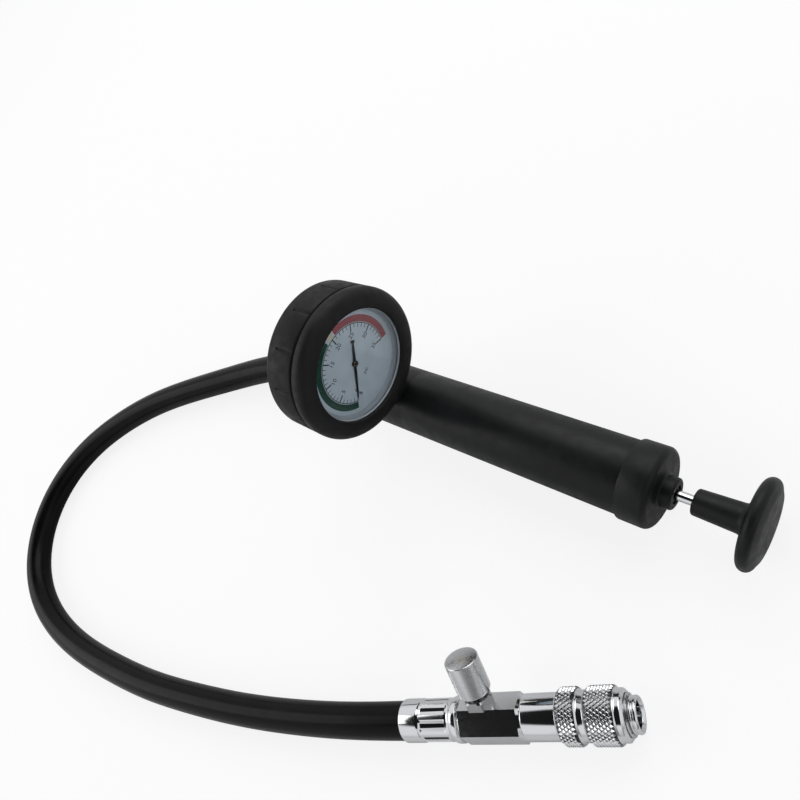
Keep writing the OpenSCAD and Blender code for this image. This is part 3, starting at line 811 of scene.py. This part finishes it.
def build_relief():
    """The pressure release valve: small hex, neck, and the long cap that is pressed."""
    s = bpy.context.scene.tester_connector
    flats, neck = 9.8, 3.5
    corner = flats / math.sqrt(3)
    profile = [(-3.9, 1.35), (-3.9, 3.4), (-0.5, 3.4), (-0.5, corner), (2.4, corner), (3, 4.8), (3, neck),
               (8, neck), (8, 2.6), (2, 2.6), (2, 1.35)]
    base = turned("relief_hex", profile, relief_axes(), closed=True, count=96, sharp=24,
                  **hexed(flats, math.pi / 6))
    # The hex wears the darker copy of the chrome: painted shade
    dress(base, "tester", "chrome", "painted_shade_chrome", "relief_base")
    r, length, bore = s.relief_diameter / 2 / MM, s.relief_length / MM, 3.7
    profile = [(10.85, 0), (10.85, 1.2), (9.3, 1.2), (9.3, bore), (0, bore)]
    profile += soften([(0, bore), (0, r - 0.3), (0.35, r), (length - 0.9, r)], 0.25)[1:-1]
    profile += arc((length - 0.9, r - 0.45), 0.45, 90, 20, 7)
    profile += [(length - 0.42 * (k / 9) ** 2, (r - 0.6) * k / 9) for k in range(9, -1, -1)]
    cap = turned("relief_button", profile, relief_axes(5.2), sharp=40)
    dress(cap, "relief_button", "chrome", "satin_chrome", "relief_cap")


def coil(name, radius, wire, length, turns, placed):
    """A compression spring along Z."""
    steps = turns * 20
    rings = []
    for i in range(steps + 1):
        angle = 2 * math.pi * turns * i / steps
        height = wire + (length - 2 * wire) * i / steps
        rings.append([])
        for turn in even_angles(8):
            r = radius + wire * math.cos(turn)
            rings[-1].append((r * math.cos(angle), r * math.sin(angle), height - wire * math.sin(turn)))
    return tube(name, rings, placed)


def build_springs():
    """The two return springs, pressed together by the relief cap and the sleeve."""
    for name, node, joint, radius, wire, length, travel, placed in (
            ("relief_return_spring", "relief_spring", "relief_press", 1.95, 0.35, 12.3, 2.0, relief_axes(2)),
            ("sleeve_return_spring", "sleeve_spring", "sleeve_slide", 7, 0.4, 11.9, 2.4,
             coupler_axes(COUPLER_SHOULDER))):
        spring = coil(name, radius, wire, length, 6, placed)
        dress(spring, "tester", "steel", stands_for=node)
        tuple(placed.translation)
        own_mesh(spring)


def build_coupler():
    """The quick coupler's plain body, with the shoulder that the sleeve's spring stands on."""
    shoulder, end = COUPLER_SHOULDER, COUPLER_BODY_LENGTH
    profile = [(0, 2.1), (0, 7.4), (0.4, 7.7), (shoulder, 7.7), (shoulder, 6.2), (end, 6.2), (end, 2.1)]
    body = turned("coupler_barrel", soften(profile, 0.2, 4, True), coupler_axes(), closed=True)
    dress(body, "tester", "chrome", stands_for="coupler_body")


def build_mouth():
    """The coupler's ribbed mouth."""
    end, rib = 19, 5.9
    profile = [(0, 2.1), (0, 6.15), (end - 3.1, 6.15), (end - 3.1, 5.6), (end - 2.5, 5.6), (end - 2.4, rib),
               (end - 1.9, rib), (end - 1.7, 5.45), (end - 1.3, 5.45), (end - 1.1, rib), (end - 0.5, rib),
               (end, 5.6), (end, 5.0), (end - 0.9, 4.27), (2, 4.27), (2, 2.1)]
    placed = coupler_axes(COUPLER_BODY_LENGTH)
    mouth = turned("coupler_mouth", soften(profile, 0.1, 3, True), placed, closed=True, count=96)
    dress(mouth, "tester", "chrome", stands_for="coupler_socket")


def build_sleeve():
    """The coupler's sliding sleeve with its two knurled bands."""
    s = bpy.context.scene.tester_connector
    place = coupler_axes(SLEEVE_START)
    length, r, knurl = 22.7, s.sleeve_diameter / 2 / MM, s.knurl_height / MM
    bed, waist, land, bore = r - knurl, r - 1.0, 6.5, 7.82
    outline = [(0, bore), (0, r - 0.8), (0.6, bed), (7.0, bed), (7.6, waist), (9.6, waist), (10.2, bed),
               (19.6, bed), (20.2, r - 0.85), (length - 0.9, r - 0.85), (length, r - 1.8), (length, land),
               (length - 5.2, land), (length - 5.3, bore)]
    sleeve = turned("sliding_sleeve", soften(outline, 0.22, 4, True), place, closed=True)
    dress(sleeve, "sleeve", "chrome", stands_for="coupler_sleeve")
    tree = knurl_tree()
    for name, start, width, rows in (("rear", 0.5, 6.5, 5), ("front", 10.2, 9.4, 8)):
        band = grown(name + "_knurl", tree, {
            "Radius": (bed + knurl * 0.45) * MM, "Length": width * MM, "Around": 38, "Rows": rows,
            "Height": knurl * MM, "Material": FINISHES["knurl_chrome"]},
            place @ Matrix.Translation((0, 0, start * MM)))
        dress(band, "sleeve", "chrome", "knurl_chrome")
        # Dark ring under the diamonds: painted shade in the knurl's valleys
        low, top, end = bed - 0.2, bed + 0.03, start + width
        valley = soften([(start, low), (start, top), (end, top), (end, low)], 0.05, 2, True)
        floor = turned(name + "_knurl_valley_shade", valley, place, closed=True, count=96)
        dress(floor, "sleeve", "chrome", "knurl_valley_shade")


# ---------------------------------------------------------------- the studio

def build_camera():
    """Camera where the photograph was taken from, close above the pump and rolled."""
    s = bpy.context.scene.tester_studio
    data = bpy.data.cameras.new("camera")
    data.lens = s.lens
    data.sensor_width = 36
    data.clip_start, data.clip_end = 0.01, 20
    camera = add_object("camera", data)
    location, target = Vector(s.camera_place), Vector(s.camera_target)
    level = (target - location).to_track_quat("-Z", "Y").to_matrix()
    turn = level @ Matrix.Rotation(s.camera_roll, 3, "Z")
    camera.matrix_world = Matrix.Translation(location) @ turn.to_4x4()
    bpy.context.scene.camera = camera


def build_floor():
    """Large pale floor that fades to white for the camera but keeps the object's soft shadow."""
    size, whiteness = 6.0, 0.78
    mesh = bpy.data.meshes.new("floor")
    corners = [(x * size, y * size, 0) for x, y in ((-1, -1), (1, -1), (1, 1), (-1, 1))]
    mesh.from_pydata(corners, [], [[0, 1, 2, 3]])
    finish = new_finish("pale floor", (0.86, 0.86, 0.86), 0.85)
    tree = finish.node_tree
    glow = add_node(tree, "ShaderNodeEmission", {"Color": (1, 1, 1, 1), "Strength": 1.06}).outputs[0]
    share = maths(tree, "MULTIPLY", add_node(tree, "ShaderNodeLightPath").outputs["Is Camera Ray"], whiteness)
    mix = add_node(tree, "ShaderNodeMixShader", {
        "Fac": share, 1: tree.nodes["Principled BSDF"].outputs[0], 2: glow}).outputs[0]
    tree.links.new(mix, tree.nodes["Material Output"].inputs["Surface"])
    mesh.materials.append(finish)
    add_object("floor", mesh)


def build_world():
    """White for the camera; a studio with a dark ceiling and a grey card for what reflects it."""
    world = bpy.data.worlds.new("studio")
    bpy.context.scene.world = world
    world.use_nodes = True
    tree = world.node_tree
    tree.nodes.clear()
    place = add_node(tree, "ShaderNodeTexCoord").outputs["Generated"]
    height = add_node(tree, "ShaderNodeSeparateXYZ", {0: place}).outputs["Z"]
    ramp = add_node(tree, "ShaderNodeValToRGB", {"Fac": height})
    stops = ramp.color_ramp.elements
    stops[0].color = (0.75, 0.76, 0.78, 1)
    for position, value in ((0.25, 1.0), (0.72, 1.0), (0.80, 0.015)):
        stops.new(position).color = (value, value, value * 1.02, 1)
    stops[-1].color = (0.012, 0.012, 0.013, 1)
    facing = add_node(tree, "ShaderNodeVectorMath", {0: place, 1: Vector((0.82, -0.56, 0.1)).normalized()},
                      operation="DOT_PRODUCT").outputs["Value"]
    card = add_node(tree, "ShaderNodeMapRange", {
        "Value": facing, "From Min": 0.70, "From Max": 0.97, "To Min": 1.0, "To Max": 0.3}).outputs["Result"]
    dimmed = add_node(tree, "ShaderNodeVectorMath", {0: ramp.outputs["Color"], "Scale": card},
                      operation="SCALE").outputs[0]
    studio = add_node(tree, "ShaderNodeBackground", {"Color": dimmed, "Strength": 0.85}).outputs[0]
    white = add_node(tree, "ShaderNodeBackground", {"Color": (1, 1, 1, 1)}).outputs[0]
    seen = add_node(tree, "ShaderNodeLightPath").outputs["Is Camera Ray"]
    mix = add_node(tree, "ShaderNodeMixShader", {"Fac": seen, 1: studio, 2: white}).outputs[0]
    add_node(tree, "ShaderNodeOutputWorld", {"Surface": mix})


def build_lamps():
    """Two broad soft lamps, from behind the pump and from the hose's side."""
    s = bpy.context.scene.tester_studio
    for name, place, size, power in (("back softbox", (-0.1, 0.9, 0.9), 1.0, 1.0),
                                     ("side softbox", (-0.9, -0.5, 0.8), 0.8, 0.5)):
        data = bpy.data.lights.new(name, "AREA")
        data.size = size
        data.energy = s.lamp_power * power
        lamp = add_object(name, data)
        lamp.location = place
        lamp.rotation_euler = (-Vector(place)).to_track_quat("-Z", "Y").to_euler()


# ---------------------------------------------------------------- the user's sizes and colours

def size_mm(name, text, millimetres):
    """A length that the user can change."""
    return FloatProperty(name=name, description=text, default=millimetres * MM, unit="LENGTH")


def angle_deg(name, text, degrees):
    """An angle that the user can change."""
    return FloatProperty(name=name, description=text, default=math.radians(degrees), unit="ROTATION")


def colour_rgb(name, text, *value):
    """A colour that the user can change."""
    return FloatVectorProperty(name=name, description=text, default=value, subtype="COLOR")


def point_m(name, text, *value):
    """A point that the user can move."""
    return FloatVectorProperty(name=name, description=text, default=value, subtype="TRANSLATION",
                               unit="LENGTH")


class TesterPump(bpy.types.PropertyGroup):
    """Sizes of the pump"""
    barrel_diameter: size_mm("Barrel diameter", "Outside of the pump's barrel", 27.4)
    barrel_wall: size_mm("Barrel wall", "Wall of the pump's barrel", 1.25)
    cap_diameter: size_mm("Cap diameter", "Outside of the end cap", 29.4)
    cap_length: size_mm("Cap length", "End cap without its nose", 11)


class TesterGauge(bpy.types.PropertyGroup):
    """Sizes of the gauge"""
    boot_diameter: size_mm("Boot diameter", "Outside of the rubber boot", 60)
    window_diameter: size_mm("Window diameter", "Opening of the boot in front of the lens", 44.4)
    notch_depth: size_mm("Notch depth", "Depth of the moulded lines on the boot's back band", 0.45)
    band_inner: size_mm("Band inner radius", "Inside of the coloured band", 16.4)
    band_outer: size_mm("Band outer radius", "Outside of the coloured band", 19.1)
    needle_zero: angle_deg("Zero", "Angle of the zero mark", 222)
    needle_sweep: angle_deg("Sweep", "Angle from the zero mark to the last one", 252)
    needle_length: size_mm("Needle length", "From the pivot to the tip", 14.8)
    needle_tail: size_mm("Needle tail", "From the pivot to the blunt end", 9.6)


class TesterHose(bpy.types.PropertyGroup):
    """Sizes of the hose"""
    diameter: size_mm("Hose diameter", "Outside of the hose", 14)
    inside_ferrule: size_mm("Inside ferrule", "Length of hose that the ferrule covers", 23)


class TesterConnector(bpy.types.PropertyGroup):
    """Sizes of the connector"""
    block_flats: size_mm("Block flats", "Valve block across its flats", 15)
    block_length: size_mm("Block length", "Valve block along the hose", 24.5)
    block_roll: angle_deg("Block roll", "Tip of the relief valve above level", 40)
    relief_place: size_mm("Relief place", "Relief valve from the ferrule's mouth", 33.5)
    relief_diameter: size_mm("Relief cap diameter", "Outside of the relief cap", 12.4)
    relief_length: size_mm("Relief cap length", "Length of the relief cap", 13.8)
    sleeve_diameter: size_mm("Sleeve diameter", "Outside of the knurled sleeve", 18.2)
    knurl_height: size_mm("Knurl height", "Height of the knurl's diamonds", 0.45)


class TesterColours(bpy.types.PropertyGroup):
    """Colours of the whole tester"""
    plastic: colour_rgb("Plastic", "Pump's plastic", 0.0065, 0.007, 0.0072)
    rubber: colour_rgb("Rubber", "Gauge's boot", 0.0065, 0.0065, 0.007)
    hose: colour_rgb("Hose", "Hose's rubber", 0.0035, 0.0035, 0.0038)
    chrome: colour_rgb("Chrome", "Connector's plating", 0.74, 0.75, 0.76)
    brass: colour_rgb("Brass", "Fittings on the pump head", 0.72, 0.53, 0.24)
    dial: colour_rgb("Dial", "Dial's enamel", 0.70, 0.79, 0.85)
    red: colour_rgb("Red band", "High part of the scale", 0.42, 0.07, 0.08)
    # The green band's print colour, darkened by painted shade
    green: colour_rgb("Green band", "Low part of the scale", 0.008, 0.075, 0.045)


class TesterStudio(bpy.types.PropertyGroup):
    """Camera and light"""
    camera_place: point_m("Camera place", "Where the camera stands", 0.1312, -0.0260, 0.2496)
    camera_target: point_m("Camera target", "Point on the floor that it looks at", -0.0687, -0.0008, 0.0)
    camera_roll: angle_deg("Camera roll", "Roll about the line of sight", -60.5)
    lens: FloatProperty(name="Lens", description="Focal length in millimetres on a 36 mm frame", default=30.4)
    lamp_power: FloatProperty(
        name="Lamp power", description="Power of the main lamp", default=6.0, unit="POWER")


# ---------------------------------------------------------------- add-on

def operator(idname, label, text, *builders):
    """Operator class that runs the builders of one piece or group of pieces."""
    def execute(self, context):
        for build in builders:
            build()
        return {"FINISHED"}
    return type("TESTER_OT_" + idname, (bpy.types.Operator,), {
        "bl_idname": "tester." + idname, "bl_label": label, "__doc__": text, "execute": execute})


OPERATORS = (
    operator("camera", "Camera", "Adds the camera", build_camera),
    operator("finishes", "Finishes", "Makes every material", make_finishes),
    operator("hose", "Hose", "Adds the hose", build_hose),
    operator("frame_nodes", "Inner pieces", "Paints the pieces that keep their shape", paint_frame_nodes),
    operator("head", "Pump head", "Adds the pump head and the barb behind it", build_head, build_barb),
    operator("barrel", "Barrel", "Adds the pump's barrel", build_barrel),
    operator("end_cap", "End cap", "Adds the end cap", build_end_cap),
    operator("handle", "Handle", "Adds the handle", build_knob),
    operator("boot", "Boot", "Adds the gauge's boot", build_boot),
    operator("lens", "Lens", "Adds the lens and the bezel's wall", build_lens, build_bezel),
    operator("dial", "Dial", "Adds the dial and its scale", build_dial),
    operator("needle", "Needle", "Adds the needle", build_needle),
    operator("ferrule", "Ferrule", "Adds the hose's ferrule", build_hose_ferrule),
    operator("block", "Valve block", "Adds the valve block", build_block),
    operator("relief", "Relief valve", "Adds the relief valve", build_relief),
    operator("coupler", "Coupler", "Adds the quick coupler", build_coupler, build_sleeve, build_mouth),
    operator("springs", "Return springs", "Adds the valve's and the sleeve's springs", build_springs),
    operator("free_hose", "Free hose", "Ties the connector's pieces to the hose", declare_hose),
    operator("stage", "Studio", "Adds the floor, the surroundings and the lamps",
             build_floor, build_world, build_lamps),
)
GROUPS = {"tester_pump": TesterPump, "tester_gauge": TesterGauge, "tester_hose": TesterHose,
          "tester_connector": TesterConnector, "tester_colours": TesterColours, "tester_studio": TesterStudio}


class TESTER_PT_pieces(bpy.types.Panel):
    """Buttons for every piece, in the 3D view's sidebar"""
    bl_label = "Pressure tester"
    bl_idname = "TESTER_PT_pieces"
    bl_space_type = "VIEW_3D"
    bl_region_type = "UI"
    bl_category = "Tester"

    def draw(self, context):
        """Lists the operators in the order of the build."""
        for kind in OPERATORS:
            self.layout.operator(kind.bl_idname)


def register():
    """Adds the add-on's classes and the scene's settings."""
    for kind in (*GROUPS.values(), *OPERATORS, TESTER_PT_pieces):
        bpy.utils.register_class(kind)
    for name, kind in GROUPS.items():
        setattr(bpy.types.Scene, name, bpy.props.PointerProperty(type=kind))


def unregister():
    """Takes them away again."""
    for name in GROUPS:
        delattr(bpy.types.Scene, name)
    for kind in reversed((*GROUPS.values(), *OPERATORS, TESTER_PT_pieces)):
        bpy.utils.unregister_class(kind)


def main():
    """Builds the whole tester and notes how its size compares with the frame's."""
    register()
    bpy.context.scene.view_settings.view_transform = "Standard"
    for kind in OPERATORS:
        getattr(bpy.ops.tester, kind.bl_idname.split(".")[1])()


if __name__ == "__main__":
    main()
